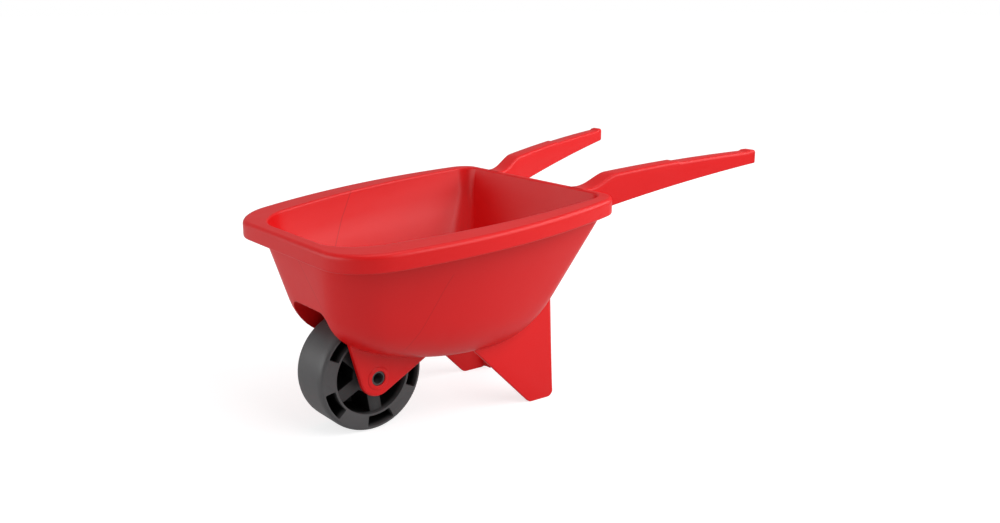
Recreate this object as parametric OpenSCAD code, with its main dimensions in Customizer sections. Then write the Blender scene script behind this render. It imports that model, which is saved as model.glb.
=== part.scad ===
// Child's garden wheelbarrow: one red moulding on a black wheel with a hollow axle.
// +X points to the wheel, +Y to the left, +Z up. Lengths along X are given from the
// axle, and at_axle() moves every piece so that the origin lies on the floor, at the
// middle of the overall box. Tub, rim, arch, ears, legs and handles are one moulding in
// the real object and meet face to face here.

/* [Wheel] */
// Radius of the tread
wheel_r = 65; // [52:1:74]
// Width over the side lands
wheel_w = 57; // [48:1:64]
// Width of the straight part of the tread
tread_w = 41; // [30:1:46]
// Outer radius of the side lands, where the shoulder ends
land_outer_r = 61; // [48:0.5:63]
// Radius of the ring inside the side lands
land_inner_r = 45; // [36:0.5:48]
// Thickness of the wheel's moulded walls
wheel_wall = 2.4; // [1.8:0.1:3.5]
// Number of lands, pockets and spokes
pockets = 5; // [3:1:7]
// Angle that one open pocket takes up
pocket_angle = 33; // [20:1:36]
// Radius of the hub
hub_r = 21; // [16:0.5:26]
// Radius of the neck that spaces the hub from the ears
neck_r = 13; // [11:0.5:16]
// Lip left between a pocket and the shoulder
pocket_lip = 1; // [0.6:0.1:2]
// Width of one spoke
spoke_w = 15; // [8:0.5:18]
// Depth from the side lands down to the spokes and to the dish's far web
spoke_drop = 7; // [4:0.5:12]
// Turn of the wheel at rest
wheel_turn = 27; // [0:1:71]

/* [Axle] */
// Outer radius of the hollow axle
axle_r = 8.4; // [6:0.1:10]
// Wall of the hollow axle
axle_wall = 2.2; // [1.5:0.1:3]
// Radial running clearance of the axle in the ears
axle_clearance = 0.08; // [0.03:0.01:0.1]
// Depth of the axle's ends below the ears' outer faces
axle_inset = 0.6; // [0:0.1:2]

/* [Ears and arch] */
// Gap between the wheel's side and the wall of the arch
side_gap = 9.5; // [6:0.5:14]
// Gap between the tread and the roof of the arch
roof_gap = 11; // [6:0.5:16]
// Rise of the arch's roof towards the front, in millimetres for each millimetre
roof_rise = 0.12; // [0:0.01:0.2]
// Wall of the arch and the ears
ear_wall = 3; // [2:0.25:4]
// Radius of an ear's rounded end
ear_r = 21; // [17:0.5:25]
// Depth of the flange round an ear, behind its outer face
ear_flange = 9; // [5:0.5:9.5]
// Radius of the boss round the axle
boss_r = 13; // [11:0.5:16]
// Height of the boss above the ear's outer face
boss_lift = 0.6; // [0:0.1:1.5]
// Running gap between the boss and the neck of the hub
hub_gap = 0.5; // [0.3:0.1:1]
// Axle forward to the ear's front edge, where it meets the tub
ear_front = 34; // [28:1:40]
// Axle back to the ear's rear edge, where it meets the tub
ear_rear = 78; // [60:1:90]

/* [Tub] */
// Wall of the tub
wall = 3; // [2:0.25:4]
// Axle to the front edge of the tub's mouth
mouth_front = 72; // [64:1:86]
// Axle back to the rear edge of the tub's mouth
mouth_rear = 248; // [210:1:290]
// Half width of the mouth at its front
mouth_front_half = 96; // [88:1:115]
// Half width of the mouth at its rear
mouth_rear_half = 130; // [110:1:135]
// How far the mouth's sides bow out
mouth_bow = 22; // [10:1:30]
// Rounding of the mouth's front corners
mouth_corner = 42; // [30:1:55]
// Rounding of the mouth's rear corners
mouth_rear_corner = 18; // [12:1:40]
// Height of the steep band at the top of the tub's wall
band_h = 30; // [22:1:45]
// How far the steep band runs in towards its lower edge
band_draft = 3; // [0.5:0.5:6]
// Height of the rim's top above the floor, level with the axle
rim_z = 236; // [205:1:270]
// Rise of the rim towards the handles, in millimetres for each millimetre
rim_rise = 0.078; // [0:0.002:0.12]
// Axle to the front of the tub's floor
floor_front = 52; // [42:1:58]
// Axle back to the rear of the tub's floor
floor_rear = 195; // [165:1:205]
// Half width of the floor at its front
floor_front_half = 64; // [56:1:75]
// Half width of the floor at its rear
floor_rear_half = 79; // [68:1:95]
// How far the floor's sides bow out
floor_bow = 18; // [0:1:24]
// Height of the floor's lowest part
floor_z = 78; // [70:1:95]
// Height of the floor's front edge
floor_front_z = 107; // [98:1:120]
// Axle back to where the floor starts to rise
floor_low_x = 130; // [90:1:150]

/* [Rim] */
// Width of the flat rim at the front
rim_front_w = 15; // [11:1:24]
// Width of the flat rim along the sides
rim_side_w = 36; // [28:1:42]
// Width of the rim at its sides, at the rear end
rim_rear_side_w = 16; // [12:1:24]
// How far the rim's sides bow outwards
rim_bow = 29.5; // [12:0.5:40]
// Width of the flat rim at the rear
rim_rear_w = 9; // [8:1:16]
// Rounding of the rim's front corners
rim_corner = 46; // [30:1:60]
// Rounding of the rim's rear corners
rim_rear_corner = 22; // [16:1:50]
// Depth of the skirt that hangs from the rim
skirt_h = 19; // [12:1:26]
// Wall of the rim and its skirt
rim_wall = 3; // [2:0.25:3.5]
// Rounding between the rim and its skirt
rim_round = 4; // [2:0.5:5]

/* [Handles] */
// Axle back to the ends of the handles
handle_reach = 488; // [430:2:570]
// Half the distance between the outer sides at the handle ends
grip_half_span = 149; // [120:1:175]
// Half the distance between the outer sides at the roots
root_half_span = 95; // [84:1:100]
// Width of a handle at its root
root_w = 27; // [20:1:34]
// Depth of a handle at its root
root_h = 30; // [24:1:36]
// Rise of a handle above the rim, just behind its root
root_rise = 10; // [6:1:18]
// Length of the curve from the rim up to the handle's top
root_curve = 38; // [28:1:60]
// Width of a handle at its end
grip_w = 18; // [14:1:24]
// Depth of a handle at its end
grip_h = 16; // [12:1:22]
// Height of the handle ends above the floor
grip_z = 288; // [270:1:320]
// Length of the hand grip
grip_length = 100; // [80:1:120]
// Length of the raised stop at the end of the grip
stop_length = 11; // [6:1:16]
// Depth of the hand grip below the rest of the handle's top
grip_recess = 1.5; // [0:0.25:3]
// How far a handle's top bows up between root and end
handle_crown = 3; // [0:0.5:8]
// Wall of a handle's channel
handle_wall = 3; // [2:0.25:4]
// Number of cross ribs inside each handle
handle_ribs = 3; // [0:1:5]

/* [Legs] */
// Axle back to the rear of the legs
leg_rear = 228; // [205:1:240]
// Half the distance between the legs' outer faces
leg_half_span = 69; // [60:1:76]
// Length of a leg's foot
foot_length = 41; // [30:1:50]
// Slope of a leg's front edge
leg_angle = 45; // [38:1:55]
// Radius of a leg's rounded rear edge
leg_corner = 12; // [8:1:16]
// Inward return of a leg at its rear
leg_return = 17; // [17:1:30]
// Depth of the flange along a leg's front edge
leg_flange = 8; // [4:0.5:12]
// Wall of a leg
leg_wall = 3.5; // [2.5:0.25:4.5]
// Rounding of a foot's corners
foot_round = 8; // [4:0.5:10]

/* [Hidden] */
$fn = 96;
tiny = 0.01;
red = "#d62828";
black = "#1c1c1e";

rim_front = mouth_front + rim_front_w;
rim_rear = mouth_rear + rim_rear_w;
axle_x = (handle_reach - rim_front) / 2;
axle_z = wheel_r;
half_w = wheel_w / 2;
arch_half = half_w + side_gap;
ear_face = arch_half + ear_wall;
hub_half = arch_half - ear_wall - hub_gap;
rim_outer_half = max(mouth_front_half + rim_side_w, mouth_rear_half + rim_rear_side_w) + rim_bow;
hidden_z = rim_z - 2 * skirt_h;  // ears and legs are drawn up to here, inside the tub
roof_r = wheel_r + roof_gap;
pitch = 360 / pockets;
roof_step = 7.5;
corner_steps = 6;
side_steps = 8;

module at_axle() { translate([axle_x, 0, 0]) children(); }

// ---- Plan outlines: rounded quadrilaterals with bowed sides, symmetric about X ----

function mix(a, b, t) = a + (b - a) * t;
function cubic(a, b, c, d, t) =
    pow(1 - t, 3) * a + 3 * pow(1 - t, 2) * t * b + 3 * (1 - t) * t * t * c + pow(t, 3) * d;
function corner_point(a, c, b, t) = cubic(a, mix(a, c, 0.55), mix(b, c, 0.55), b, t);
function side_point(xf, xr, wf, wr, bow, t) = [mix(xf, xr, t), mix(wf, wr, t) + 4 * bow * t * (1 - t)];

// Left half of an outline, from the middle of its front edge to the middle of its rear edge
function half_outline(xf, xr, wf, wr, bow, rf, rr) =
    let (tf = rf / (xf - xr), tr = 1 - rr / (xf - xr),
         front = side_point(xf, xr, wf, wr, bow, tf),
         rear = side_point(xf, xr, wf, wr, bow, tr))
    concat(
        [for (t = [0, 0.5]) [xf, t * (wf - rf)]],
        [for (i = [0:corner_steps]) corner_point([xf, wf - rf], [xf, wf], front, i / corner_steps)],
        [for (i = [1:side_steps - 1]) side_point(xf, xr, wf, wr, bow, mix(tf, tr, i / side_steps))],
        [for (i = [0:corner_steps]) corner_point(rear, [xr, wr], [xr, wr - rr], i / corner_steps)],
        [for (t = [0.5, 0]) [xr, t * (wr - rr)]]);

function outline(xf, xr, wf, wr, bow, rf, rr) =
    let (h = half_outline(xf, xr, wf, wr, bow, rf, rr), n = len(h))
    concat(h, [for (i = [n - 2:-1:1]) [h[i][0], -h[i][1]]]);

function mouth_outline(out) =
    outline(mouth_front + out, -mouth_rear - out, mouth_front_half + out, mouth_rear_half + out,
            mouth_bow, mouth_corner + out, mouth_rear_corner + out);
function floor_outline(out) =
    outline(floor_front + out, -floor_rear - out, floor_front_half + out, floor_rear_half + out,
            floor_bow, mouth_corner + out, mouth_corner + out);
function rim_outline(out) =
    outline(rim_front + out, -rim_rear - out, mouth_front_half + rim_side_w + out,
            mouth_rear_half + rim_rear_side_w + out, rim_bow, rim_corner + out, rim_rear_corner + out);

function rim_height(x) = rim_z - rim_rise * x;
function floor_height(x) =
    floor_z + (floor_front_z - floor_z) * pow(max(0, (x + floor_low_x) / (floor_front + floor_low_x)), 2);
function on_rim(loop, drop) = [for (p = loop) [p[0], p[1], rim_height(p[0]) - drop]];
function on_floor(loop, lift) = [for (p = loop) [p[0], p[1], floor_height(p[0]) + lift]];
function between(a, b, t) = [for (i = [0:len(a) - 1]) mix(a[i], b[i], t)];
function bent(a, b, c, t) = between(between(a, b, t), between(b, c, t), t);

// ---- Lofts: a stack of loops with as many points each, joined by triangles ----

function ring_faces(gaps, n, total) =
    [for (k = [0:gaps - 1]) for (i = [0:n - 1])
        let (j = (i + 1) % n, a = k * n, b = ((k + 1) * n) % total)
        each [[a + i, a + j, b + j], [a + i, b + j, b + i]]];

module loft(loops) {
    n = len(loops[0]);
    total = len(loops) * n;
    polyhedron(points = [for (l = loops) each l], convexity = 8,
        faces = concat(ring_faces(len(loops) - 1, n, total),
            [[for (i = [n - 1:-1:0]) i]], [[for (i = [0:n - 1]) total - n + i]]));
}

// A ring, whose last loop joins its first
module closed_loft(loops) {
    n = len(loops[0]);
    polyhedron(points = [for (l = loops) each l], convexity = 8,
        faces = ring_faces(len(loops), n, len(loops) * n));
}

// ---- Tub ----

wall_end = 0.62;     // share of the wall below the band that is straight, before the bend to the floor
bend_reach = 0.4;    // how far the bend reaches across the floor
floor_reach = 0.9;   // how far the last loop is drawn in to the middle of the floor
floor_mid = [(floor_front - floor_rear) / 2, 0];

function drawn_in(loop, t) = [for (p = loop) mix(p, floor_mid, t)];

// Loops from the mouth down the wall, round the bend and across the floor, out from the inside
function tub_loops(out) =
    let (plan = floor_outline(out - wall), lift = wall - out,
         band = on_rim(mouth_outline(out - band_draft), band_h),
         edge = on_floor(plan, lift),
         wall_low = between(band, edge, wall_end),
         flat = on_floor(drawn_in(plan, bend_reach), lift))
    concat([on_rim(mouth_outline(out), rim_wall), band, wall_low],
           [for (t = [0.2:0.2:0.9]) bent(wall_low, edge, flat, t)],
           [flat, on_floor(drawn_in(plan, (bend_reach + floor_reach) / 2), lift)],
           [[for (p = drawn_in(plan, floor_reach)) [p[0], p[1], floor_height(floor_mid[0]) + lift]]]);

module tub_block() { loft(tub_loops(wall)); }

// Shell of the tub: up its inside, over the mouth and down its outside
module tub_shell() {
    inside = tub_loops(0);
    loft(concat([for (i = [len(inside) - 1:-1:0]) inside[i]], tub_loops(wall)));
}

// Side view of the space round the wheel, grown by g
module well_profile(g) {
    r = roof_r + g;
    polygon(concat([[-r, -r]], [for (a = [180:-roof_step:90]) [r * cos(a), axle_z + r * sin(a)]],
        [[rim_front, axle_z + r + roof_rise * rim_front], [rim_front, -r]]));
}

module across(depth) { rotate([90, 0, 0]) linear_extrude(depth, center = true) children(); }

module tub() {
    color(red) at_axle() difference() {
        tub_shell();
        across(2 * ear_face) well_profile(ear_wall);
    }
}

module wheel_arch() {
    color(red) at_axle() intersection() {
        tub_block();
        difference() {
            across(2 * ear_face) well_profile(ear_wall);
            across(2 * arch_half) well_profile(0);
        }
    }
}

// ---- Rim ----

module rim() {
    r = rim_round;
    color(red) at_axle() closed_loft([
        on_rim(mouth_outline(0), 0),
        on_rim(rim_outline(-r), 0),
        on_rim(rim_outline(-r * (1 - sin(45))), r * (1 - cos(45))),
        on_rim(rim_outline(0), r),
        on_rim(rim_outline(0), skirt_h),
        on_rim(rim_outline(-rim_wall), skirt_h),
        on_rim(rim_outline(-rim_wall), rim_wall),
        on_rim(mouth_outline(wall), rim_wall),
        on_rim(mouth_outline(0), rim_wall)]);
}

// All that lies inside the rim's outline, from the skirt's lower edge up past the rim
module rim_block() {
    ends = [-rim_rear - wall, rim_front + wall];
    intersection() {
        linear_extrude(2 * rim_z) polygon(rim_outline(0));
        across(2 * rim_outer_half) polygon([for (x = ends) [x, rim_height(x) - skirt_h],
            for (i = [1, 0]) [ends[i], rim_height(ends[i]) + root_rise]]);
    }
}

// ---- Ears ----

// Where a line from point p touches the circle of radius r round c; side is 1 or -1
function touch(p, c, r, side) =
    let (d = p - c, a = atan2(d[1], d[0]) + side * acos(r / norm(d))) c + r * [cos(a), sin(a)];

// Side view of an ear, shrunk by g
module ear_profile(g) {
    c = [0, axle_z];
    front = [ear_front - g, floor_front_z + ear_wall];
    rear = [-ear_rear + g, floor_height(-ear_rear) + ear_wall];
    translate(c) circle(ear_r - g);
    polygon([c, touch(front, c, ear_r - g, -1), front, [front[0], hidden_z], [rear[0], hidden_z],
             rear, touch(rear, c, ear_r - g, 1)]);
}

module side_slab(from, to) {
    translate([0, (from + to) / 2, 0]) across(to - from) children();
}

module axle_cylinder(r, from, to) {
    translate([0, from, axle_z]) rotate([-90, 0, 0]) cylinder(r = r, h = to - from);
}

module left_ear_solid() {
    difference() {
        union() {
            side_slab(arch_half, ear_face) ear_profile(0);
            side_slab(ear_face - ear_flange, arch_half) difference() {
                ear_profile(0);
                ear_profile(ear_wall);
            }
            axle_cylinder(boss_r, hub_half + hub_gap, ear_face + boss_lift);
        }
        axle_cylinder(axle_r + axle_clearance, hub_half, ear_face + ear_wall);
        tub_block();
    }
}

module left_ear() { color(red) at_axle() left_ear_solid(); }
module right_ear() { color(red) at_axle() mirror([0, 1, 0]) left_ear_solid(); }

// ---- Legs ----

// Plan of a leg, shrunk by g: a side plate with a rounded rear edge and a short return
module leg_plan(g) {
    corner = [leg_corner - leg_rear, leg_half_span - leg_corner];
    intersection() {
        translate(corner) circle(leg_corner - g);
        translate([-leg_rear, corner[1]]) square(leg_corner);
    }
    translate([corner[0], leg_half_span - leg_return - g]) square([rim_rear, leg_return]);
    translate([g - leg_rear, leg_half_span - leg_return - g]) square([leg_corner, leg_return - leg_corner + g]);
}

// Side view of a leg, its sloping front edge drawn back by g
module leg_profile(g) {
    r = foot_round;
    heel = r - leg_rear;
    toe = foot_length - leg_rear - r;
    slope = [cos(leg_angle), sin(leg_angle)];
    start = [toe, r] + r * [slope[1], -slope[0]] - [g / slope[1], 0];
    end = start + slope * hidden_z / slope[1];
    translate([heel, r]) circle(r);
    translate([toe - g, r]) circle(r);
    polygon([[heel, 0], [toe - g, 0], start, end, [-leg_rear, end[1]], [-leg_rear, r], [heel, r]]);
}

module left_leg_solid() {
    difference() {
        union() {
            intersection() {
                linear_extrude(hidden_z) difference() {
                    leg_plan(0);
                    leg_plan(leg_wall);
                }
                side_slab(0, rim_outer_half) leg_profile(0);
            }
            side_slab(leg_half_span - leg_flange, leg_half_span - leg_wall / 2) difference() {
                leg_profile(0);
                leg_profile(leg_wall);
                translate([-rim_rear, -wall]) square([rim_rear - leg_rear + foot_length / 2, rim_z]);
            }
        }
        tub_block();
    }
}

module left_leg() { color(red) at_axle() left_leg_solid(); }
module right_leg() { color(red) at_axle() mirror([0, 1, 0]) left_leg_solid(); }

// ---- Handles ----

handle_length = handle_reach - rim_rear;
root_z = rim_height(-rim_rear);
curve_end = root_curve / handle_length;
stop_start = 1 - stop_length / handle_length;
grip_start = stop_start - grip_length / handle_length;
ramp = 3 / handle_length;

function smooth(t) = let (u = min(1, max(0, t))) u * u * (3 - 2 * u);
function bow(t) = 4 * handle_crown * t * (1 - t);
function handle_line(t) = mix(root_z + root_rise, grip_z, t) + bow(t);
function handle_top(t) =
    mix(root_z, handle_line(t), smooth(t / curve_end))
    - grip_recess * (smooth((t - grip_start) / ramp) - smooth((t - stop_start) / ramp));
function handle_bottom(t) = mix(root_z - root_h, grip_z - grip_h, t) + bow(t);
function handle_x(t) = mix(-rim_rear, -handle_reach, t);
function handle_out(t) = mix(root_half_span, grip_half_span, t);
function handle_in(t) = handle_out(t) - mix(root_w, grip_w, t);

root_start = -(rim_rear_w + rim_wall) / handle_length;
handle_stations = concat([root_start], [for (i = [0:5]) curve_end * i / 5],
    [for (i = [1:5]) mix(curve_end, grip_start, i / 6)],
    [grip_start, grip_start + ramp, (grip_start + stop_start) / 2, stop_start, stop_start + ramp, 1]);

// Outer section at station t, with rounded top edges, and the open space under its top
function handle_section(t) =
    let (x = handle_x(t), a = handle_in(t), b = handle_out(t), z = handle_top(t), e = handle_wall)
    [[x, a, handle_bottom(t)], [x, b, handle_bottom(t)], [x, b, z - e], [x, b - 0.3 * e, z - 0.3 * e],
     [x, b - e, z], [x, a + e, z], [x, a + 0.3 * e, z - 0.3 * e], [x, a, z - e]];
function handle_space(t) =
    let (x = handle_x(t), a = handle_in(t) + handle_wall, b = handle_out(t) - handle_wall)
    [[x, a, handle_bottom(t) - wall], [x, b, handle_bottom(t) - wall],
     [x, b, handle_top(t) - handle_wall], [x, a, handle_top(t) - handle_wall]];

// Open space under the top between stations a and b
module handle_cell(a, b) {
    inner = [for (t = handle_stations) if (t > a && t < b) t];
    loft([for (t = concat([a], inner, [b])) handle_space(t)]);
}

module left_handle_solid() {
    cell = (1 - handle_wall / handle_length - root_start) / (handle_ribs + 1);
    difference() {
        loft([for (t = handle_stations) handle_section(t)]);
        for (i = [0:handle_ribs])
            handle_cell(root_start + i * cell + (i > 0 ? handle_wall / handle_length : -ramp),
                        root_start + (i + 1) * cell);
        rim_block();
        tub_block();
    }
}

module left_handle() { color(red) at_axle() left_handle_solid(); }
module right_handle() { color(red) at_axle() mirror([0, 1, 0]) left_handle_solid(); }

// ---- Wheel, built round its own Z axis with its left side up ----

// A ring's sector, turned from the top of the wheel
module sector(r_in, r_out, turn, angle) {
    middle = 270 - turn;
    intersection() {
        difference() {
            circle(r_out);
            circle(r_in);
        }
        polygon(concat([[0, 0]], [for (share = [-0.5, 0, 0.5])
            2 * r_out * [cos(middle + share * angle), sin(middle + share * angle)]]));
    }
}

module spoke_bar(turn, w) {
    rotate(270 - turn) translate([0, -w / 2]) square([wheel_r, w]);
}

module dish_ring(r_in, r_out) {
    difference() {
        circle(r_out);
        circle(r_in);
    }
}

// Cuts into the left side, down to a depth, and into the right side
module left_cut(depth) { translate([0, 0, half_w - depth]) linear_extrude(depth + wall) children(); }
module right_cut(depth) { translate([0, 0, -half_w - wall]) linear_extrude(depth + wall) children(); }

module wheel_blank() {
    shoulder = [for (a = [0:15:90]) [mix(land_outer_r, wheel_r, cos(a)), mix(tread_w / 2, half_w, sin(a))]];
    mirrored = [for (i = [len(shoulder) - 1:-1:0]) [shoulder[i][0], -shoulder[i][1]]];
    rotate_extrude() polygon(concat([[0, -half_w]], mirrored, shoulder, [[0, half_w]]));
}

module wheel_cuts() {
    deep = wheel_w - wheel_wall;
    dish_deep = deep - spoke_drop;
    closed_angle = pitch - pocket_angle - 2 * wheel_wall / land_inner_r * 180 / PI;
    r_in = land_inner_r + wheel_wall;
    r_out = land_outer_r - pocket_lip;
    left_cut(spoke_drop) circle(land_inner_r);
    right_cut(spoke_drop) circle(land_inner_r);
    left_cut(dish_deep) difference() {
        dish_ring(hub_r, land_inner_r);
        for (k = [0:pockets - 1]) spoke_bar(wheel_turn + k * pitch, spoke_w);
    }
    for (k = [0:pockets - 1]) {
        turn = wheel_turn + k * pitch;
        left_cut(deep) sector(r_in, r_out, turn, pocket_angle);
        right_cut(deep) sector(r_in, r_out, turn + pitch / 2, closed_angle);
        right_cut(dish_deep) intersection() {
            dish_ring(hub_r - tiny, land_inner_r);
            spoke_bar(turn, spoke_w - 2 * wheel_wall);
        }
    }
    right_cut(dish_deep) dish_ring(axle_r + wheel_wall, hub_r - wheel_wall);
}

module wheel() {
    color(black) at_axle() translate([0, 0, axle_z]) rotate([-90, 0, 0]) difference() {
        union() {
            difference() {
                wheel_blank();
                wheel_cuts();
            }
            difference() {
                cylinder(r = neck_r, h = 2 * hub_half, center = true);
                cylinder(r = hub_r, h = wheel_w - 2 * spoke_drop, center = true);
            }
            cylinder(r = axle_r + wheel_wall, h = 2 * hub_half, center = true);
        }
        cylinder(r = axle_r, h = 3 * hub_half, center = true);
    }
}

module axle() {
    end = ear_face - axle_inset;
    color(black) at_axle() difference() {
        axle_cylinder(axle_r, -end, end);
        axle_cylinder(axle_r - axle_wall, -wheel_w, wheel_w);
    }
}

tub();
rim();
wheel_arch();
left_ear();
right_ear();
left_leg();
right_leg();
left_handle();
right_handle();
wheel();
axle();
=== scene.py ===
import math
import bmesh
import bpy
from mathutils import Matrix, Vector


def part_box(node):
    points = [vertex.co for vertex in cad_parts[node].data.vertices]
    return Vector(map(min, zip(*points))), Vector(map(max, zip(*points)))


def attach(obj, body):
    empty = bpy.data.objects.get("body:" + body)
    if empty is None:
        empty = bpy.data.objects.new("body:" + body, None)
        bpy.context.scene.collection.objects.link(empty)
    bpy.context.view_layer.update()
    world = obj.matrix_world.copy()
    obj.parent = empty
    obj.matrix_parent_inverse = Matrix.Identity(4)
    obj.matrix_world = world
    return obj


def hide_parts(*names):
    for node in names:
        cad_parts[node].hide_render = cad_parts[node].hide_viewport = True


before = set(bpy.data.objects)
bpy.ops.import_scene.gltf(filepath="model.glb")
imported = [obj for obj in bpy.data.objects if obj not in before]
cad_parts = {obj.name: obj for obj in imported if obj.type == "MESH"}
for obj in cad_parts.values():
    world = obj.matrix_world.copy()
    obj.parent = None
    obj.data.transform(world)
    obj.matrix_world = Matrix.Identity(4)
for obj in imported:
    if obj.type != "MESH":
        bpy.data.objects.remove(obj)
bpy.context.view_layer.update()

# ---- Camera and studio ----
# A plain white room and floor, with soft windows: the key at the near side, a low one in
# front, and two small ones behind that draw the thin pale lines along the rim and handles.

camera_spot = Vector((0.7622, 0.9883, 0.4698))
camera_back = Vector((0.59254, 0.76845, 0.24164))
camera_right = Vector((-0.79191, 0.61063, 0.0))
camera_up = camera_back.cross(camera_right)
lens = bpy.data.cameras.new("camera")
lens.sensor_width = 36
lens.lens = 37.92
camera = bpy.data.objects.new("camera", lens)
camera.matrix_world = Matrix((
    (camera_right.x, camera_up.x, camera_back.x, camera_spot.x),
    (camera_right.y, camera_up.y, camera_back.y, camera_spot.y),
    (camera_right.z, camera_up.z, camera_back.z, camera_spot.z),
    (0, 0, 0, 1)))
bpy.context.scene.collection.objects.link(camera)
bpy.context.scene.camera = camera
bpy.context.scene.view_settings.view_transform = "Standard"


def feed(tree, socket, value):
    """Set a socket to a number or a colour, or link another socket to it."""
    if isinstance(value, bpy.types.NodeSocket):
        tree.links.new(value, socket)
    else:
        socket.default_value = value


def ramp(tree, value, start, end, low, high, eased=False):
    """Carry a value that runs from start to end over to low and high."""
    step = tree.nodes.new("ShaderNodeMapRange")
    step.interpolation_type = "SMOOTHSTEP" if eased else "LINEAR"
    for name, given in (("Value", value), ("From Min", start), ("From Max", end),
                        ("To Min", low), ("To Max", high)):
        feed(tree, step.inputs[name], given)
    return step.outputs["Result"]


room_light, room_white = 0.30, 1.0
room = bpy.data.worlds.new("white_room")
room.use_nodes = True
tree = room.node_tree
air = tree.nodes["Background"]
air.inputs["Color"].default_value = (1, 1, 1, 1)
camera_ray = tree.nodes.new("ShaderNodeLightPath").outputs["Is Camera Ray"]
feed(tree, air.inputs["Strength"], ramp(tree, camera_ray, 0, 1, room_light, room_white))
bpy.context.scene.world = room


def window(name, spot, aim, width, height, power, spread=180):
    glow = bpy.data.lights.new(name, "AREA")
    glow.shape = "RECTANGLE"
    glow.size = width
    glow.size_y = height
    glow.energy = power
    glow.spread = math.radians(spread)
    lamp = bpy.data.objects.new(name, glow)
    lamp.location = spot
    lamp.rotation_euler = (Vector(aim) - Vector(spot)).to_track_quat("-Z", "Y").to_euler()
    bpy.context.scene.collection.objects.link(lamp)


window("key_window", (-0.5, 1.45, 1.25), (0, 0, 0.15), 1.8, 1.5, 29)
window("top_window", (0.1, -0.2, 2.1), (0, 0, 0.15), 1.4, 1.2, 8)
window("front_window", (1.85, -0.8, 0.55), (0.1, 0, 0.17), 2.2, 0.9, 7.5, 120)
window("sheen_window", (-1.45, 0.75, 0.85), (0, -0.1, 0.2), 0.9, 0.6, 7)
window("line_window", (-1.2, 0.5, 1.55), (0, 0.1, 0.24), 0.3, 0.3, 4)

shadow_from, shadow_to = 0.3, 1.6
floor_light, floor_near, floor_far = 0.22, 0.74, 0.90
bpy.ops.object.select_all(action="DESELECT")
bpy.ops.mesh.primitive_plane_add(size=60, location=(0, 0, 0))
floor = bpy.context.object
floor.name = "floor"
paper = bpy.data.materials.new("paper_sweep")
paper.use_nodes = True
tree = paper.node_tree
shader = tree.nodes["Principled BSDF"]
shader.inputs["Base Color"].default_value = (0.45, 0.45, 0.455, 1)
shader.inputs["Roughness"].default_value = 0.9
shader.inputs["Specular IOR Level"].default_value = 0.0
shader.inputs["Emission Color"].default_value = (1, 1, 1, 1)
away = tree.nodes.new("ShaderNodeVectorMath")
away.operation = "LENGTH"
tree.links.new(tree.nodes.new("ShaderNodeTexCoord").outputs["Object"], away.inputs[0])
whiter = ramp(tree, away.outputs["Value"], shadow_from, shadow_to, floor_near, floor_far, eased=True)
camera_ray = tree.nodes.new("ShaderNodeLightPath").outputs["Is Camera Ray"]
feed(tree, shader.inputs["Emission Strength"], ramp(tree, camera_ray, 0, 1, floor_light, whiter))
floor.data.materials.append(paper)

# ---- Tub with its rim and wheel arch ----
# The body of the barrow: a deep tub whose wide flat rim carries a hanging skirt, and whose floor
# rises in front over a boxed arch that keeps sand off the wheel. It is injection moulded in red
# polypropylene in one with the ears, legs and handles, which are welded to this piece below.

axle_low, axle_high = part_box("axle")
axle_x = (axle_low[0] + axle_high[0]) / 2
axle_z = (axle_low[2] + axle_high[2]) / 2
wall = 0.003
mouth_front, mouth_rear = 0.072, -0.248
mouth_half_front, mouth_half_rear = 0.096, 0.130
mouth_bow, mouth_corner_front, mouth_corner_rear = 0.022, 0.042, 0.018
rim_front, rim_rear = 0.087, -0.257
rim_half_front, rim_half_rear = 0.132, 0.146
rim_bow, rim_corner_front, rim_corner_rear = 0.0294, 0.046, 0.022
rim_over_axle, rim_slope = 0.236, 0.078
floor_front, floor_rear = 0.052, -0.195
floor_half_front, floor_half_rear = 0.064, 0.079
floor_bow, floor_corner = 0.018, 0.042
floor_low, floor_high, floor_rise_from = 0.078, 0.107, -0.130
bend_from, bend_to = 0.6, 0.42
lip, edge_round, skirt_depth, skirt_round = 0.0022, 0.0045, 0.019, 0.0013
band_depth, band_draft = 0.030, 0.003
arch_half, arch_wall, arch_radius, arch_front = 0.038, 0.003, 0.076, 0.1
arch_rise, arch_round, opening_round = 0.12, 0.004, 0.012


def mix(a, b, share):
    return a + (b - a) * share


def outline(front, rear, half_front, half_rear, bow, round_front, round_rear):
    """Round a four-sided plan with bowed sides and soft corners, lengths from the axle."""
    span = front - rear

    def side(share):
        return Vector((mix(front, rear, share),
                       mix(half_front, half_rear, share) + 4 * bow * share * (1 - share)))

    def corner(a, tip, b):
        c, d = mix(a, tip, 0.55), mix(b, tip, 0.55)
        for i in range(11):
            t = i / 10
            yield (1 - t) ** 3 * a + 3 * (1 - t) ** 2 * t * c + 3 * (1 - t) * t * t * d + t ** 3 * b

    near, far = round_front / span, 1 - round_rear / span
    half = [Vector((front, i / 4 * (half_front - round_front))) for i in range(4)]
    half += corner(Vector((front, half_front - round_front)), Vector((front, half_front)), side(near))
    half += [side(mix(near, far, i / 18)) for i in range(1, 18)]
    half += corner(side(far), Vector((rear, half_rear)), Vector((rear, half_rear - round_rear)))
    half += [Vector((rear, (3 - i) / 4 * (half_rear - round_rear))) for i in range(4)]
    return half + [Vector((p.x, -p.y)) for p in reversed(half[1:-1])]


def mouth_plan(out):
    return outline(mouth_front + out, mouth_rear - out, mouth_half_front + out,
                   mouth_half_rear + out, mouth_bow, mouth_corner_front + out, mouth_corner_rear + out)


def rim_plan(out):
    return outline(rim_front + out, rim_rear - out, rim_half_front + out,
                   rim_half_rear + out, rim_bow, rim_corner_front + out, rim_corner_rear + out)


def floor_plan(out):
    return outline(floor_front + out, floor_rear - out, floor_half_front + out,
                   floor_half_rear + out, floor_bow, floor_corner + out, floor_corner + out)


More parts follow.
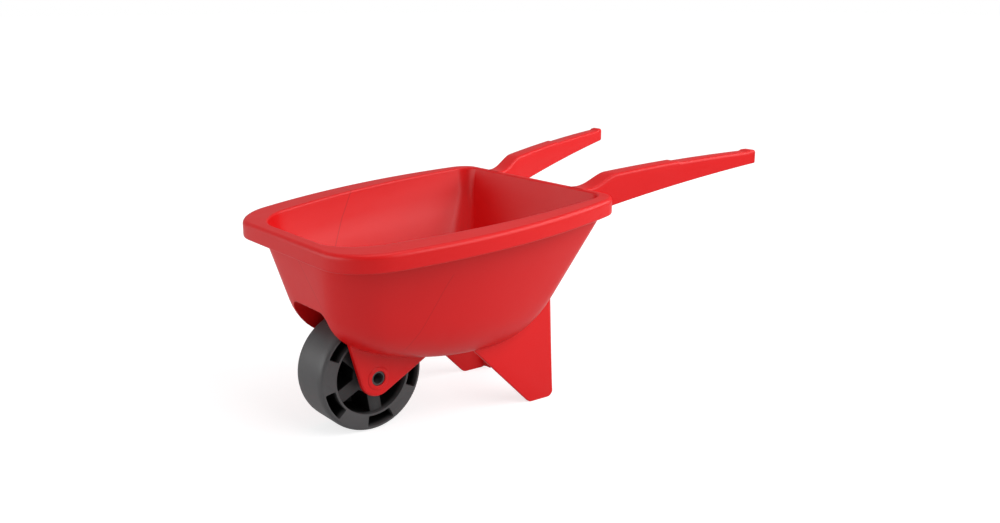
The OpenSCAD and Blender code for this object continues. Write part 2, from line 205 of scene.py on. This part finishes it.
def rim_height(x):
    return rim_over_axle - rim_slope * x


def floor_height(x):
    run = max(0.0, (x - floor_rise_from) / (floor_front - floor_rise_from))
    return floor_low + (floor_high - floor_low) * run * run


def under_rim(plan, drop):
    return [Vector((axle_x + p.x, p.y, rim_height(p.x) - drop)) for p in plan]


def over_floor(plan, lift, drawn_in=0.0):
    middle = Vector(((floor_front + floor_rear) / 2, 0))
    return [Vector((axle_x + p.x, p.y, floor_height(p.x) + lift))
            for p in (mix(q, middle, drawn_in) for q in plan)]


def wall_loops(out):
    """Down the tub's wall, round the bend and across the floor, a distance out from its inside."""
    plan, lift = floor_plan(out - wall), wall - out
    band = under_rim(mouth_plan(out - band_draft), band_depth)
    edge = over_floor(plan, lift)
    flat = over_floor(plan, lift, bend_to)
    low = [mix(a, b, bend_from) for a, b in zip(band, edge)]
    loops = [band] + [[mix(a, b, s) for a, b in zip(band, edge)] for s in (0.16, 0.32, 0.48)] + [low]
    for i in range(1, 10):
        t = i / 10
        loops.append([mix(mix(a, b, t), mix(b, c, t), t) for a, b, c in zip(low, edge, flat)])
    return loops + [flat] + [over_floor(plan, lift, s) for s in (0.6, 0.8, 0.95)]


def loft(name, loops):
    """A circle's edge extruded from loop to loop, with its two open ends filled."""
    bpy.ops.object.select_all(action="DESELECT")
    bpy.ops.mesh.primitive_circle_add(vertices=len(loops[0]), fill_type="NOTHING")
    piece = bpy.context.object
    piece.name = name
    bpy.ops.object.mode_set(mode="EDIT")
    bpy.ops.mesh.select_all(action="SELECT")
    mesh = bmesh.from_edit_mesh(piece.data)
    for v, place in zip(mesh.verts, loops[0]):
        v.co = place
    for before, loop in zip(loops, loops[1:]):
        bpy.ops.mesh.extrude_edges_move()
        mesh = bmesh.from_edit_mesh(piece.data)
        spots = {tuple(round(c, 6) for c in p): i for i, p in enumerate(before)}
        for v in [v for v in mesh.verts if v.select]:
            v.co = loop[spots[tuple(round(c, 6) for c in v.co)]]
    bpy.ops.mesh.edge_face_add()
    bpy.ops.mesh.select_all(action="DESELECT")
    bpy.ops.mesh.select_non_manifold()
    bpy.ops.mesh.edge_face_add()
    bpy.ops.mesh.select_all(action="SELECT")
    bpy.ops.mesh.normals_make_consistent(inside=False)
    bpy.ops.object.mode_set(mode="OBJECT")
    return piece


inside = wall_loops(0)
outside = wall_loops(wall)
quarter = [math.radians(a) for a in (0, 22.5, 45, 67.5, 90)]
over_mouth = [under_rim(mouth_plan(lip * (1 - math.cos(a))), lip * (1 - math.sin(a))) for a in quarter]
flat_rim = [under_rim([mix(a, b, s) for a, b in zip(mouth_plan(lip), rim_plan(-edge_round))], 0)
            for s in (0.08, 0.35, 0.65, 0.92)]
over_edge = [under_rim(rim_plan(edge_round * (math.sin(a) - 1)), edge_round * (1 - math.cos(a)))
             for a in quarter]
skirt = [under_rim(rim_plan(0), mix(edge_round, skirt_depth - skirt_round, s)) for s in (0.12, 0.5, 0.88)]
skirt_foot = [under_rim(rim_plan(skirt_round * (math.cos(math.radians(a)) - 1)),
                        skirt_depth - skirt_round * (1 - math.sin(math.radians(a))))
              for a in (0, 30, 60, 90)]
skirt_back = [under_rim(rim_plan(-wall + skirt_round * (1 - math.sin(math.radians(a)))),
                        skirt_depth - skirt_round * (1 - math.cos(math.radians(a))))
              for a in (30, 60, 90)]
under_side = [under_rim(rim_plan(-wall), 0.008), under_rim(rim_plan(-wall), wall + 0.001),
              under_rim(rim_plan(-wall - 0.001), wall),
              under_rim([mix(a, b, 0.5) for a, b in zip(rim_plan(-wall), mouth_plan(wall))], wall),
              under_rim(mouth_plan(wall + 0.0012), wall), under_rim(mouth_plan(wall), wall + 0.0012)]
tub = loft("barrow_moulding", list(reversed(inside)) + over_mouth + flat_rim + over_edge + skirt
           + skirt_foot + skirt_back + under_side + outside)


def take_up(piece):
    """Select one piece alone."""
    bpy.ops.object.select_all(action="DESELECT")
    piece.select_set(True)
    bpy.context.view_layer.objects.active = piece


def block(name, plan, low, high):
    """A flat side view pushed along Y from low to high."""
    bpy.ops.object.select_all(action="DESELECT")
    bpy.ops.mesh.primitive_circle_add(vertices=len(plan), fill_type="NGON")
    piece = bpy.context.object
    piece.name = name
    bpy.ops.object.mode_set(mode="EDIT")
    mesh = bmesh.from_edit_mesh(piece.data)
    for v, (x, z) in zip(mesh.verts, plan):
        v.co = (x, low, z)
    bpy.ops.mesh.select_all(action="SELECT")
    bpy.ops.mesh.extrude_region_move(TRANSFORM_OT_translate={"value": (0, high - low, 0)})
    bpy.ops.mesh.select_all(action="SELECT")
    bpy.ops.mesh.normals_make_consistent(inside=False)
    bpy.ops.object.mode_set(mode="OBJECT")
    return piece


def soften(piece, width, segments, angle=50):
    """Round a piece's edges that are sharper than an angle."""
    take_up(piece)
    bevel = piece.modifiers.new("rounding", "BEVEL")
    bevel.width = width
    bevel.segments = segments
    bevel.limit_method = "ANGLE"
    bevel.angle_limit = math.radians(angle)
    bpy.ops.object.modifier_apply(modifier=bevel.name)


def join_or_cut(piece, tool, way, keep=False):
    """Weld a tool to a piece, cut it away, or keep what they share."""
    take_up(piece)
    change = piece.modifiers.new(way.lower(), "BOOLEAN")
    change.operation = way
    change.solver = "EXACT"
    change.object = tool
    bpy.ops.object.modifier_apply(modifier=change.name)
    if not keep:
        bpy.data.objects.remove(tool)


def well(name, grown):
    """The space round the wheel: upright at the rear, round over the wheel, rising to the front."""
    r = arch_radius + grown
    plan = [(axle_x - r, 0.02), (axle_x - r, axle_z)]
    plan += [(axle_x + r * math.cos(math.radians(a)), axle_z + r * math.sin(math.radians(a)))
             for a in range(176, 89, -4)]
    plan += [(axle_x + arch_front, axle_z + r + arch_rise * arch_front), (axle_x + arch_front, 0.02)]
    return block(name, plan, -arch_half - grown, arch_half + grown)


mouth_top = under_rim(mouth_plan(0.0026), 0)
middle_of_wall = loft("middle_of_wall", [[p + Vector((0, 0, 0.02)) for p in mouth_top],
                                         under_rim(mouth_plan(0.0026), wall)] + wall_loops(wall * 0.5))
arch = well("arch_block", arch_wall)
soften(arch, arch_round, 4)
join_or_cut(arch, middle_of_wall, "INTERSECT", keep=True)
join_or_cut(tub, arch, "UNION")
opening = well("arch_space", 0)
soften(opening, opening_round, 6)
join_or_cut(tub, opening, "DIFFERENCE")


def node_group(name, inputs, outputs):
    """A shader node group with named sockets, its given values and its results."""
    group = bpy.data.node_groups.new(name, "ShaderNodeTree")
    for socket, kind in inputs:
        group.interface.new_socket(name=socket, in_out="INPUT", socket_type="NodeSocket" + kind)
    for socket in outputs:
        group.interface.new_socket(name=socket, in_out="OUTPUT", socket_type="NodeSocketFloat")
    return group, group.nodes.new("NodeGroupInput").outputs, group.nodes.new("NodeGroupOutput").inputs


def place_group(tree, group, place, values):
    """A group set in a material, with its own values."""
    node = tree.nodes.new("ShaderNodeGroup")
    node.node_tree = group
    feed(tree, node.inputs["Place"], place)
    for name, value in values.items():
        node.inputs[name].default_value = value
    return node.outputs


def reckon(tree, way, first, second=0.0, third=0.0):
    """One step of arithmetic between sockets or numbers."""
    step = tree.nodes.new("ShaderNodeMath")
    step.operation = way
    for socket, value in zip(step.inputs, (first, second, third)):
        feed(tree, socket, value)
    return step.outputs[0]


def along(tree, place, direction):
    """How far a place lies along a direction."""
    dot = tree.nodes.new("ShaderNodeVectorMath")
    dot.operation = "DOT_PRODUCT"
    tree.links.new(place, dot.inputs[0])
    tree.links.new(direction, dot.inputs[1])
    return dot.outputs["Value"]


def apart(tree, place):
    """A place's X, Y and Z."""
    parts = tree.nodes.new("ShaderNodeSeparateXYZ")
    tree.links.new(place, parts.inputs["Vector"])
    return parts.outputs


def fade(tree, value, length):
    """From none at nought to whole after a length."""
    return ramp(tree, value, 0, length, 0, 1, eased=True)


def cloud(tree, place, scale, detail):
    """A soft uneven value all over the surface."""
    noise = tree.nodes.new("ShaderNodeTexNoise")
    for name, value in (("Vector", place), ("Scale", scale), ("Detail", detail)):
        feed(tree, noise.inputs[name], value)
    return noise.outputs["Fac"]


def tint(tree, share, first, second):
    """A colour between two others."""
    blend = tree.nodes.new("ShaderNodeMix")
    blend.data_type = "RGBA"
    for number, value in ((0, share), (6, first), (7, second)):
        feed(tree, blend.inputs[number], value)
    return blend.outputs[2]


flow_line, given, result = node_group(
    "flow_line", (("Place", "Vector"), ("Across", "Vector"), ("Offset", "Float"), ("Width", "Float"),
                  ("Side", "Vector"), ("Reach", "Float"), ("Bottom", "Float"), ("Top", "Float")), ["Line"])
tree = flow_line
crossing = reckon(tree, "MULTIPLY_ADD", cloud(tree, given["Place"], 16, 1), 0.007,
                  along(tree, given["Place"], given["Across"]))
distance = reckon(tree, "ABSOLUTE", reckon(tree, "SUBTRACT", crossing, given["Offset"]))
thin = fade(tree, reckon(tree, "SUBTRACT", 1, reckon(tree, "DIVIDE", distance, given["Width"])), 1)
facing = fade(tree, reckon(tree, "SUBTRACT", along(tree, given["Place"], given["Side"]),
                           given["Reach"]), 0.004)
height = apart(tree, given["Place"])["Z"]
above = fade(tree, reckon(tree, "SUBTRACT", height, given["Bottom"]), 0.03)
below = fade(tree, reckon(tree, "SUBTRACT", given["Top"], height), 0.004)
seen_part = reckon(tree, "MULTIPLY", thin, facing)
feed(tree, result["Line"], reckon(tree, "MULTIPLY", seen_part, reckon(tree, "MULTIPLY", above, below)))

moulded_skin, given, result = node_group(
    "moulded_skin", (("Place", "Vector"), ("Grain Scale", "Float"), ("Ripple Scale", "Float"),
                     ("Ripple Detail", "Float"), ("Ripple Height", "Float")), ["Ripple", "Relief"])
tree = moulded_skin
ripple = cloud(tree, given["Place"], given["Ripple Scale"], given["Ripple Detail"])
grain = cloud(tree, given["Place"], given["Grain Scale"], 2)
feed(tree, result["Ripple"], ripple)
feed(tree, result["Relief"], reckon(tree, "MULTIPLY_ADD", ripple, given["Ripple Height"], grain))

red_deep, red_bright, red_line = (0.66, 0.003, 0.004, 1), (0.70, 0.005, 0.006, 1), (0.36, 0.0, 0.0, 1)
red = bpy.data.materials.new("red_moulding")
red.use_nodes = True
tree = red.node_tree
shader = tree.nodes["Principled BSDF"]
place = tree.nodes.new("ShaderNodeTexCoord").outputs["Object"]
skin = place_group(tree, moulded_skin, place, {"Grain Scale": 420, "Ripple Scale": 28,
                                               "Ripple Detail": 2, "Ripple Height": 4})
lines = 0
for across, offset, width, side, reach, bottom, top, depth in (
        ((1, 0, 0.576), 0.2706, 0.0013, (0, -1, 0), 0.09, 0.10, 0.262, 1.0),
        ((1, 0, 0.413), 0.2378, 0.0011, (0, 1, 0), 0.075, 0.085, 0.195, 0.55),
        ((0, 1, 0.61), 0.1327, 0.0011, (1, 0, 0), 0.245, 0.135, 0.206, 0.7)):
    line = place_group(tree, flow_line, place, {"Across": across, "Offset": offset, "Width": width,
                                                "Side": side, "Reach": reach, "Bottom": bottom, "Top": top})
    lines = reckon(tree, "MULTIPLY_ADD", line["Line"], depth, lines)
clouded = tint(tree, cloud(tree, place, 7, 3), red_deep, red_bright)
feed(tree, shader.inputs["Base Color"], tint(tree, reckon(tree, "MULTIPLY", lines, 0.6), clouded, red_line))
feed(tree, shader.inputs["Roughness"], ramp(tree, skin["Ripple"], 0, 1, 0.30, 0.42))
soft_edge = tree.nodes.new("ShaderNodeBevel")
soft_edge.samples = 6
soft_edge.inputs["Radius"].default_value = 0.0018
bump = tree.nodes.new("ShaderNodeBump")
bump.inputs["Strength"].default_value = 0.05
bump.inputs["Distance"].default_value = 0.001
feed(tree, bump.inputs["Height"], skin["Relief"])
feed(tree, bump.inputs["Normal"], soft_edge.outputs["Normal"])
feed(tree, shader.inputs["Normal"], bump.outputs["Normal"])
shader.inputs["IOR"].default_value = 1.49
shader.inputs["Specular IOR Level"].default_value = 0.34
tub.data.materials.append(red)
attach(tub, "barrow")
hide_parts("tub", "rim", "wheel_arch", "left_ear", "right_ear", "left_leg", "right_leg",
            "left_handle", "right_handle")

# ---- Ears ----
# Two fork ears of the same red plastic carry the wheel: flat plates moulded on to the tub and
# the arch, running down to a round end. A flange turned inwards stiffens each, and a boss
# stands round the axle's hole.

ear_face = arch_half + arch_wall
ear_wall, ear_radius, ear_flange, ear_round = 0.003, 0.021, 0.009, 0.0028
ear_front, ear_rear = 0.034, 0.078
boss_radius, boss_back, boss_proud, boss_round = 0.013, 0.035, 0.0006, 0.0004
hole_radius = 0.00848
hidden_height = 0.185


def tangent(px, pz, radius, side):
    """Angle at which a line from a point touches the round end."""
    away = math.hypot(px, pz)
    return math.atan2(pz, px) + side * math.acos(radius / away)


def ear_plan(shrunk):
    """Side view of an ear, its edges drawn in, with its top hidden in the tub's wall."""
    r = ear_radius - shrunk
    front = (ear_front - shrunk, floor_high + ear_wall - axle_z)
    rear = (-ear_rear + shrunk, floor_height(-ear_rear) + ear_wall - axle_z)
    start = tangent(*front, r, -1)
    stop = tangent(*rear, r, 1)
    turn = (stop - start) % (2 * math.pi) - 2 * math.pi
    plan = [(r * math.cos(start + turn * i / 40), r * math.sin(start + turn * i / 40)) for i in range(41)]
    plan += [rear, (rear[0], hidden_height - axle_z), (front[0], hidden_height - axle_z), front]
    return [(axle_x + x, axle_z + z) for x, z in plan]


def round_bar(name, radius, low, high, steps=96):
    """A round bar along Y, centred on the axle."""
    plan = [(axle_x + radius * math.cos(2 * math.pi * i / steps),
             axle_z + radius * math.sin(2 * math.pi * i / steps)) for i in range(steps)]
    return block(name, plan, low, high)


def mirrored(piece, name):
    """The same piece for the other side."""
    take_up(piece)
    bpy.ops.object.duplicate()
    twin = bpy.context.object
    twin.name = name
    bpy.ops.object.mode_set(mode="EDIT")
    bpy.ops.mesh.select_all(action="SELECT")
    bpy.ops.transform.resize(value=(1, -1, 1), center_override=(0, 0, 0))
    bpy.ops.mesh.normals_make_consistent(inside=False)
    bpy.ops.object.mode_set(mode="OBJECT")
    return twin


ear = block("left_ear_plate", ear_plan(0), ear_face - ear_flange, ear_face)
soften(ear, ear_round, 4)
join_or_cut(ear, block("ear_hollow", ear_plan(ear_wall), -0.02, arch_half), "DIFFERENCE")
boss = round_bar("boss", boss_radius, boss_back, ear_face + boss_proud)
soften(boss, boss_round, 2)
join_or_cut(ear, boss, "UNION")
join_or_cut(ear, round_bar("axle_hole", hole_radius, 0.02, 0.06), "DIFFERENCE")
join_or_cut(ear, middle_of_wall, "DIFFERENCE", keep=True)
right_ear = mirrored(ear, "right_ear_plate")
join_or_cut(tub, ear, "UNION")
join_or_cut(tub, right_ear, "UNION")

# ---- Legs ----
# Two wedge legs grow out of the tub's rear, moulded on in the same red plastic: flat outer
# plates with an upright rear edge that rounds inwards, and a front edge at 45 degrees,
# stiffened by a shallow flange.

leg_rear, leg_face = -0.228, 0.069
foot_length, foot_round = 0.041, 0.008
leg_wall, leg_return, leg_flange = 0.0035, 0.017, 0.008
leg_round, leg_round_inside, leg_edge = 0.012, 0.0085, 0.0012


def leg_plan(shrunk, bottom):
    """Side view of a leg, its rear and front edges drawn in."""
    heel = leg_rear + shrunk
    toe = leg_rear + foot_length - shrunk * 1.4
    plan = [(heel, hidden_height), (heel, foot_round + bottom)]
    plan += [(heel + foot_round - foot_round * math.cos(math.radians(a)),
              foot_round - foot_round * math.sin(math.radians(a)) + bottom) for a in range(15, 91, 15)]
    plan += [(toe - foot_round + foot_round * math.sin(math.radians(a)),
              foot_round - foot_round * math.cos(math.radians(a)) + bottom) for a in range(0, 46, 9)]
    last_x, last_z = plan[-1]
    plan += [(last_x + hidden_height - last_z, hidden_height)]
    return [(axle_x + x, z) for x, z in plan]


def round_upright(piece, x, y, radius, segments):
    """Round the upright edge that stands at a place."""
    take_up(piece)
    bpy.ops.object.mode_set(mode="EDIT")
    bpy.ops.mesh.select_all(action="DESELECT")
    bpy.ops.mesh.select_mode(type="EDGE")
    mesh = bmesh.from_edit_mesh(piece.data)
    for e in mesh.edges:
        e.select_set(all(abs(v.co.x - x) < 1e-5 and abs(v.co.y - y) < 1e-5 for v in e.verts))
    bpy.ops.mesh.bevel(offset=radius, segments=segments, affect="EDGES")
    bpy.ops.mesh.select_mode(type="VERT")
    bpy.ops.object.mode_set(mode="OBJECT")


leg = block("left_leg_plate", leg_plan(0, 0), leg_face - leg_return, leg_face)
round_upright(leg, axle_x + leg_rear, leg_face, leg_round, 8)
soften(leg, leg_edge, 3, 40)
hollow = block("leg_hollow", leg_plan(leg_wall, -0.02), 0.02, leg_face - leg_wall)
round_upright(hollow, axle_x + leg_rear + leg_wall, leg_face - leg_wall, leg_round_inside, 6)
join_or_cut(leg, hollow, "DIFFERENCE")
flange_cut = block("flange_cut", [(axle_x + leg_rear + leg_round, -0.01), (axle_x + 0.02, -0.01),
                                  (axle_x + 0.02, 0.19), (axle_x + leg_rear + leg_round, 0.19)],
                   0.02, leg_face - leg_flange)
join_or_cut(leg, flange_cut, "DIFFERENCE")
join_or_cut(leg, middle_of_wall, "DIFFERENCE", keep=True)
right_leg = mirrored(leg, "right_leg_plate")
join_or_cut(tub, leg, "UNION")
join_or_cut(tub, right_leg, "UNION")

# ---- Handles ----
# Two splayed handles of the same red plastic rise from the rim's rear corners in a soft S, as
# channels open below with cross ribs inside. The last stretch is the hand grip, with a raised
# stop at its end. With them on, the red moulding is whole.

handle_reach = 0.488
handle_length = handle_reach + rim_rear
root_height, root_rise, root_deep = rim_height(rim_rear), 0.010, 0.030
tip_height, tip_deep = 0.288, 0.016
root_side, tip_side, root_broad, tip_broad = 0.095, 0.149, 0.027, 0.018
crown, grip_sunk, handle_round, end_round = 0.003, 0.0015, 0.0032, 0.0022
curve_end = 0.038 / handle_length
stop_start = 1 - 0.011 / handle_length
grip_start = stop_start - 0.100 / handle_length
slope = 0.004 / handle_length
handle_wall = 0.003


def smooth(share):
    share = min(1.0, max(0.0, share))
    return share * share * (3 - 2 * share)


def handle_sizes(t):
    """Where the handle is at a share of its length: x, inner and outer side, bottom and top."""
    arched = 4 * crown * t * (1 - t)
    line = mix(root_height + root_rise, tip_height, t) + arched
    top = mix(root_height, line, smooth(t / curve_end))
    top -= grip_sunk * (smooth((t - grip_start) / slope) - smooth((t - stop_start) / slope))
    bottom = mix(root_height - root_deep, tip_height - tip_deep, t) + arched
    out = mix(root_side, tip_side, t)
    return axle_x + mix(rim_rear, -handle_reach, t), out - mix(root_broad, tip_broad, t), out, bottom, top


def handle_section(t, inset=0.0):
    """The handle's outline at a share of its length, with rounded upper edges."""
    x, a, b, low, high = handle_sizes(t)
    r = handle_round
    low, high, a, b = low + inset, high - inset, a + inset, b - inset
    points = [(a, low), (mix(a, b, 0.33), low), (mix(a, b, 0.67), low), (b, low)]
    points += [(b, mix(low, high - r, 0.5))]
    points += [(b - r + r * math.cos(d), high - r + r * math.sin(d)) for d in quarter]
    points += [(mix(a, b, 0.5), high)]
    points += [(a + r - r * math.sin(d), high - r + r * math.cos(d)) for d in quarter]
    points += [(a, mix(low, high - r, 0.5))]
    return [Vector((x, y, z)) for y, z in points]


root = -0.012 / handle_length
steps = [root, root / 2] + [curve_end * i / 12 for i in range(13)]
steps += [mix(curve_end, grip_start, i / 10) for i in range(1, 11)]
steps += [grip_start + slope * i / 4 for i in range(1, 5)]
steps += [mix(grip_start, stop_start, s) for s in (0.3, 0.6, 0.9)]
steps += [stop_start + slope * i / 4 for i in range(5)] + [mix(stop_start + slope, 1, 0.5)]
loops = [handle_section(t) for t in steps]
tip = handle_sizes(1)[0]
for a in (math.radians(d) for d in (0, 30, 60, 90)):
    loops.append([Vector((tip + end_round * (1 - math.sin(a)), p.y, p.z))
                  for p in handle_section(1, end_round * (1 - math.cos(a)))])
handle = loft("left_handle_channel", loops)
cells = 4
rib = handle_wall / handle_length
cell_start = 0.004 / handle_length
cell_length = (1 - rib - cell_start) / cells
for i in range(cells):
    start, stop = cell_start + i * cell_length + (rib if i else 0), cell_start + (i + 1) * cell_length
    cell_loops = []
    for t in [start] + [t for t in steps if start < t < stop] + [stop]:
        x, a, b, low, high = handle_sizes(t)
        a, b, low, high = a + handle_wall, b - handle_wall, low - 0.003, high - handle_wall
        cell_loops.append([Vector((x, y, z)) for y, z in ((a, low), (b, low), (b, high), (a, high))])
    join_or_cut(handle, loft("handle_cell", cell_loops), "DIFFERENCE")
join_or_cut(handle, middle_of_wall, "DIFFERENCE")
right_handle = mirrored(handle, "right_handle_channel")
join_or_cut(tub, handle, "UNION")
join_or_cut(tub, right_handle, "UNION")
take_up(tub)
bpy.ops.object.mode_set(mode="EDIT")
bpy.ops.mesh.select_all(action="SELECT")
bpy.ops.mesh.remove_doubles(threshold=0.00002)
bpy.ops.mesh.normals_make_consistent(inside=False)
bpy.ops.object.mode_set(mode="OBJECT")
bpy.ops.object.shade_smooth_by_angle(angle=math.radians(32))

# ---- Wheel ----
# One black moulding, pressed on to its axle: a smooth tread with rounded shoulders, five lands
# and five deep pockets on each side, and a dished middle with spokes that carry the hub.

wheel_radius, wheel_half, tread_half, tread_middle = 0.065, 0.0285, 0.0205, 0.007
land_outer, land_inner, hub_radius = 0.061, 0.045, 0.021
neck_radius, neck_half, axle_radius = 0.013, 0.0345, 0.0084
moulded, cell_round, wheel_edge = 0.0024, 0.0012, 0.0006
pitch, wheel_turn, pocket_angle, back_pocket_angle = 72, 27, 33, 32.8
spoke_width, spoke_drop, past_face = 0.015, 0.007, 0.004
turns = 144
shoulder = [(mix(land_outer, wheel_radius, math.cos(math.radians(a))),
             mix(tread_half, wheel_half, math.sin(math.radians(a)))) for a in range(0, 91, 15)]
profile = [(r, -y) for r, y in reversed(shoulder)]
profile += [(wheel_radius, -tread_middle), (wheel_radius, tread_middle)] + shoulder


def spun(name, rings):
    """A shape turned about the axle: one ring of points for each radius and place along Y."""
    return loft(name, [[Vector((axle_x + r * math.cos(2 * math.pi * i / turns), y,
                                axle_z + r * math.sin(2 * math.pi * i / turns)))
                        for i in range(turns)] for r, y in rings])


def cell(name, inner, arc_in, outer, arc_out, low, high):
    """An opening between two arcs about the axle, turned from the top towards the front."""
    plan = [(axle_x + outer * math.sin(a), axle_z + outer * math.cos(a)) for a in arc_out]
    plan += [(axle_x + inner * math.sin(a), axle_z + inner * math.cos(a)) for a in reversed(arc_in)]
    piece = block(name, plan, low, high)
    soften(piece, cell_round, 2)
    return piece


def pocket(name, middle, angle, low, high):
    """A deep pocket in the ring, with the same angle at both radii."""
    arc = [math.radians(middle + angle * (i / 12 - 0.5)) for i in range(13)]
    return cell(name, land_inner + moulded, arc, land_outer - 0.001, arc, low, high)


def dish_cell(name, middle, low, high):
    """The open space between two spokes, from the hub out to the ring."""
    half = math.radians(pitch / 2)
    centre = math.radians(middle)
    lean_in, lean_out = (math.asin(spoke_width / 2 / r) for r in (hub_radius, land_inner))
    arc_in = [centre + mix(-half + lean_in, half - lean_in, i / 8) for i in range(9)]
    arc_out = [centre + mix(-half + lean_out, half - lean_out, i / 16) for i in range(17)]
    return cell(name, hub_radius, arc_in, land_inner, arc_out, low, high)


wheel = spun("wheel_moulding", profile)
deep = 2 * wheel_half - moulded
for side in (1, -1):
    far = side * (wheel_half + past_face)
    near = side * (wheel_half - spoke_drop)
    recess = round_bar("recess", land_inner, min(near, far), max(near, far), turns)
    join_or_cut(wheel, recess, "DIFFERENCE")
for k in range(5):
    turn = -wheel_turn - pitch * k
    for opened in (pocket("pocket", turn, pocket_angle, wheel_half - deep, wheel_half + past_face),
                   pocket("back_pocket", turn + pitch / 2, back_pocket_angle,
                          -wheel_half - past_face, deep - wheel_half),
                   dish_cell("dish_cell", turn + pitch / 2, spoke_drop - wheel_half + moulded,
                             wheel_half + past_face)):
        join_or_cut(wheel, opened, "DIFFERENCE")
neck = round_bar("neck", neck_radius, -neck_half, neck_half)
soften(neck, wheel_edge, 2)
join_or_cut(wheel, neck, "UNION")
join_or_cut(wheel, round_bar("hub_bore", axle_radius, -0.05, 0.05), "DIFFERENCE")
soften(wheel, wheel_edge, 2, 42)
bpy.ops.object.shade_smooth_by_angle(angle=math.radians(32))

black_dark, black_worn = (0.050, 0.050, 0.051, 1), (0.082, 0.082, 0.084, 1)
# Near-black painted shade for the wheel's recesses, the dish and the pockets.
painted_recess_shade = (0.004, 0.004, 0.004, 1)
black = bpy.data.materials.new("black_moulding")
black.use_nodes = True
tree = black.node_tree
shader = tree.nodes["Principled BSDF"]
place = tree.nodes.new("ShaderNodeTexCoord").outputs["Object"]
skin = place_group(tree, moulded_skin, place, {"Grain Scale": 600, "Ripple Scale": 40,
                                               "Ripple Detail": 6, "Ripple Height": 0})
from_axle = tree.nodes.new("ShaderNodeVectorMath")
from_axle.operation = "SUBTRACT"
from_axle.inputs[1].default_value = (axle_x, 0, axle_z)
tree.links.new(place, from_axle.inputs[0])
parts = apart(tree, from_axle.outputs["Vector"])
radius = reckon(tree, "SQRT", reckon(tree, "MULTIPLY_ADD", parts["X"], parts["X"],
                                     reckon(tree, "MULTIPLY", parts["Z"], parts["Z"])))
# Painted shade: faces lying deeper than about 2 mm below the wheel's side, fully at about 11 mm, and inside
# the tread are blended to near-black, standing in for the shade that falls in the dish and pockets.
sunk = fade(tree, reckon(tree, "SUBTRACT", 0.0268, reckon(tree, "ABSOLUTE", parts["Y"])), 0.009)
within = fade(tree, reckon(tree, "SUBTRACT", 0.0608, radius), 0.0006)
feed(tree, shader.inputs["Base Color"], tint(tree, reckon(tree, "MULTIPLY", sunk, within),
                                             tint(tree, skin["Ripple"], black_dark, black_worn), painted_recess_shade))
feed(tree, shader.inputs["Roughness"], ramp(tree, skin["Ripple"], 0, 1, 0.34, 0.52))
bump = tree.nodes.new("ShaderNodeBump")
bump.inputs["Strength"].default_value = 0.06
bump.inputs["Distance"].default_value = 0.0006
feed(tree, bump.inputs["Height"], skin["Relief"])
feed(tree, shader.inputs["Normal"], bump.outputs["Normal"])
shader.inputs["IOR"].default_value = 1.5
wheel.data.materials.append(black)
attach(wheel, "wheel")
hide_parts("wheel")

# ---- Axle ----
# A short tube of the same black plastic, pressed through the hub, whose open ends turn in the
# ears' holes.

axle_end, bore = axle_high[1], 0.0062
rounded_end = [(bore + 0.0004, 0), (axle_radius - 0.0005, 0), (axle_radius - 0.0001, 0.0002),
               (axle_radius, 0.0006)]
axle = spun("axle_tube", [(r, -axle_end + back) for r, back in rounded_end]
            + [(r, axle_end - back) for r, back in reversed(rounded_end)])
join_or_cut(axle, round_bar("axle_bore", bore, -0.06, 0.06, turns), "DIFFERENCE")
bpy.ops.object.shade_smooth_by_angle(angle=math.radians(32))
axle.data.materials.append(black)
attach(axle, "wheel")
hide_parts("axle")
